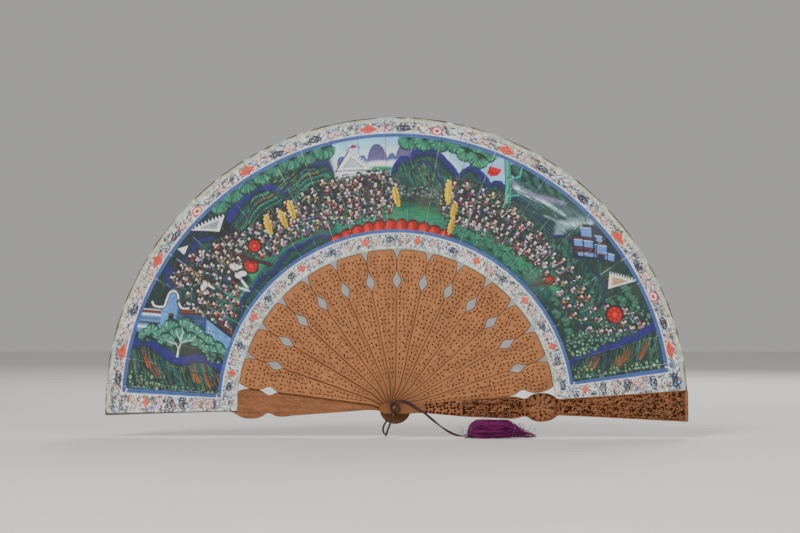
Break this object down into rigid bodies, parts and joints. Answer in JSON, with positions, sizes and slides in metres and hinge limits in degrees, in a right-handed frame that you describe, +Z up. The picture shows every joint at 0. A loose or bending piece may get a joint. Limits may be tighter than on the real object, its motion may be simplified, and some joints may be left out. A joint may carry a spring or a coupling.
{
  "type": "hand fan",
  "caption": "Folding hand fan, shown open: carved guards and pierced wooden sticks on a rivet, a pleated painted paper leaf, a metal loop, and a silk cord with a tassel.",
  "frame": {"origin": "centre of the rivet's rear face, on the pivot axis", "axes": "+X right along the open fan's width, +Y along the rivet towards the back, +Z up through the middle of the open leaf"},
  "size_m": [0.5324, 0.0462, 0.2924],
  "materials": {
    "carved_wood": "dry, finely carved and pierced, satin on the high points",
    "stick_wood": "satin, fine straight grain",
    "leaf_paper": "painted, matt, with worn creases",
    "metal": "aged dark, bright on the worn edges",
    "cord_silk": "twisted silk, soft sheen",
    "tassel_silk": "loose silk threads, soft sheen"
  },
  "bodies": {
    "front_guard": {"guard_front": "carved_wood", "leaf_panel_00": "leaf_paper", "rivet": "metal", "washer_front": "metal", "washer_rear": "metal", "cord_hitch": "cord_silk", "cord": "cord_silk", "tassel_knot": "tassel_silk", "tassel_skirt": "tassel_silk", "leaf_fold_01": "leaf_paper"},
    "stick_01": {"stick_01": "stick_wood", "leaf_panel_01": "leaf_paper", "leaf_fold_02": "leaf_paper"},
    "stick_02": {"stick_02": "stick_wood", "leaf_panel_02": "leaf_paper", "leaf_fold_03": "leaf_paper"},
    "stick_03": {"stick_03": "stick_wood", "leaf_panel_03": "leaf_paper", "leaf_fold_04": "leaf_paper"},
    "stick_04": {"stick_04": "stick_wood", "leaf_panel_04": "leaf_paper", "leaf_fold_05": "leaf_paper"},
    "stick_05": {"stick_05": "stick_wood", "leaf_panel_05": "leaf_paper", "leaf_fold_06": "leaf_paper"},
    "stick_06": {"stick_06": "stick_wood", "leaf_panel_06": "leaf_paper", "leaf_fold_07": "leaf_paper"},
    "stick_07": {"stick_07": "stick_wood", "leaf_panel_07": "leaf_paper", "leaf_fold_08": "leaf_paper"},
    "stick_08": {"stick_08": "stick_wood", "leaf_panel_08": "leaf_paper", "leaf_fold_09": "leaf_paper"},
    "stick_09": {"stick_09": "stick_wood", "leaf_panel_09": "leaf_paper", "leaf_fold_10": "leaf_paper"},
    "stick_10": {"stick_10": "stick_wood", "leaf_panel_10": "leaf_paper", "leaf_fold_11": "leaf_paper"},
    "stick_11": {"stick_11": "stick_wood", "leaf_panel_11": "leaf_paper", "leaf_fold_12": "leaf_paper"},
    "stick_12": {"stick_12": "stick_wood", "leaf_panel_12": "leaf_paper", "leaf_fold_13": "leaf_paper"},
    "stick_13": {"stick_13": "stick_wood", "leaf_panel_13": "leaf_paper", "leaf_fold_14": "leaf_paper"},
    "stick_14": {"stick_14": "stick_wood", "leaf_panel_14": "leaf_paper", "leaf_fold_15": "leaf_paper"},
    "rear_guard": {"guard_rear": "carved_wood", "leaf_panel_15": "leaf_paper"},
    "loop": {"loop": "metal"}
  },
  "joints": [
    {"name": "fold_01", "type": "hinge", "parent": "front_guard", "child": "stick_01", "pos_m": [0, 0, 0], "axis": [0, 1, 0], "range_deg": [0, 11.86], "deforming": ["leaf_fold_01"]},
    {"name": "fold_02", "type": "hinge", "parent": "stick_01", "child": "stick_02", "pos_m": [0, 0, 0], "axis": [0, 1, 0], "range_deg": [0, 11.86], "deforming": ["leaf_fold_02"]},
    {"name": "fold_03", "type": "hinge", "parent": "stick_02", "child": "stick_03", "pos_m": [0, 0, 0], "axis": [0, 1, 0], "range_deg": [0, 11.86], "deforming": ["leaf_fold_03"]},
    {"name": "fold_04", "type": "hinge", "parent": "stick_03", "child": "stick_04", "pos_m": [0, 0, 0], "axis": [0, 1, 0], "range_deg": [0, 11.86], "deforming": ["leaf_fold_04"]},
    {"name": "fold_05", "type": "hinge", "parent": "stick_04", "child": "stick_05", "pos_m": [0, 0, 0], "axis": [0, 1, 0], "range_deg": [0, 11.86], "deforming": ["leaf_fold_05"]},
    {"name": "fold_06", "type": "hinge", "parent": "stick_05", "child": "stick_06", "pos_m": [0, 0, 0], "axis": [0, 1, 0], "range_deg": [0, 11.86], "deforming": ["leaf_fold_06"]},
    {"name": "fold_07", "type": "hinge", "parent": "stick_06", "child": "stick_07", "pos_m": [0, 0, 0], "axis": [0, 1, 0], "range_deg": [0, 11.86], "deforming": ["leaf_fold_07"]},
    {"name": "fold_08", "type": "hinge", "parent": "stick_07", "child": "stick_08", "pos_m": [0, 0, 0], "axis": [0, 1, 0], "range_deg": [0, 11.86], "deforming": ["leaf_fold_08"]},
    {"name": "fold_09", "type": "hinge", "parent": "stick_08", "child": "stick_09", "pos_m": [0, 0, 0], "axis": [0, 1, 0], "range_deg": [0, 11.86], "deforming": ["leaf_fold_09"]},
    {"name": "fold_10", "type": "hinge", "parent": "stick_09", "child": "stick_10", "pos_m": [0, 0, 0], "axis": [0, 1, 0], "range_deg": [0, 11.86], "deforming": ["leaf_fold_10"]},
    {"name": "fold_11", "type": "hinge", "parent": "stick_10", "child": "stick_11", "pos_m": [0, 0, 0], "axis": [0, 1, 0], "range_deg": [0, 11.86], "deforming": ["leaf_fold_11"]},
    {"name": "fold_12", "type": "hinge", "parent": "stick_11", "child": "stick_12", "pos_m": [0, 0, 0], "axis": [0, 1, 0], "range_deg": [0, 11.86], "deforming": ["leaf_fold_12"]},
    {"name": "fold_13", "type": "hinge", "parent": "stick_12", "child": "stick_13", "pos_m": [0, 0, 0], "axis": [0, 1, 0], "range_deg": [0, 11.86], "deforming": ["leaf_fold_13"]},
    {"name": "fold_14", "type": "hinge", "parent": "stick_13", "child": "stick_14", "pos_m": [0, 0, 0], "axis": [0, 1, 0], "range_deg": [0, 11.86], "deforming": ["leaf_fold_14"]},
    {"name": "fold_15", "type": "hinge", "parent": "stick_14", "child": "rear_guard", "pos_m": [0, 0, 0], "axis": [0, 1, 0], "range_deg": [0, 11.86], "deforming": ["leaf_fold_15"]},
    {"name": "loop_swing", "type": "hinge", "parent": "front_guard", "child": "loop", "pos_m": [0, 0, 0], "axis": [0, 1, 0], "range_deg": [-80, 45]}
  ],
  "couplings": [
    {"joint": "fold_02", "follows": "fold_01", "ratio": 1},
    {"joint": "fold_03", "follows": "fold_01", "ratio": 1},
    {"joint": "fold_04", "follows": "fold_01", "ratio": 1},
    {"joint": "fold_05", "follows": "fold_01", "ratio": 1},
    {"joint": "fold_06", "follows": "fold_01", "ratio": 1},
    {"joint": "fold_07", "follows": "fold_01", "ratio": 1},
    {"joint": "fold_08", "follows": "fold_01", "ratio": 1},
    {"joint": "fold_09", "follows": "fold_01", "ratio": 1},
    {"joint": "fold_10", "follows": "fold_01", "ratio": 1},
    {"joint": "fold_11", "follows": "fold_01", "ratio": 1},
    {"joint": "fold_12", "follows": "fold_01", "ratio": 1},
    {"joint": "fold_13", "follows": "fold_01", "ratio": 1},
    {"joint": "fold_14", "follows": "fold_01", "ratio": 1},
    {"joint": "fold_15", "follows": "fold_01", "ratio": 1}
  ]
}
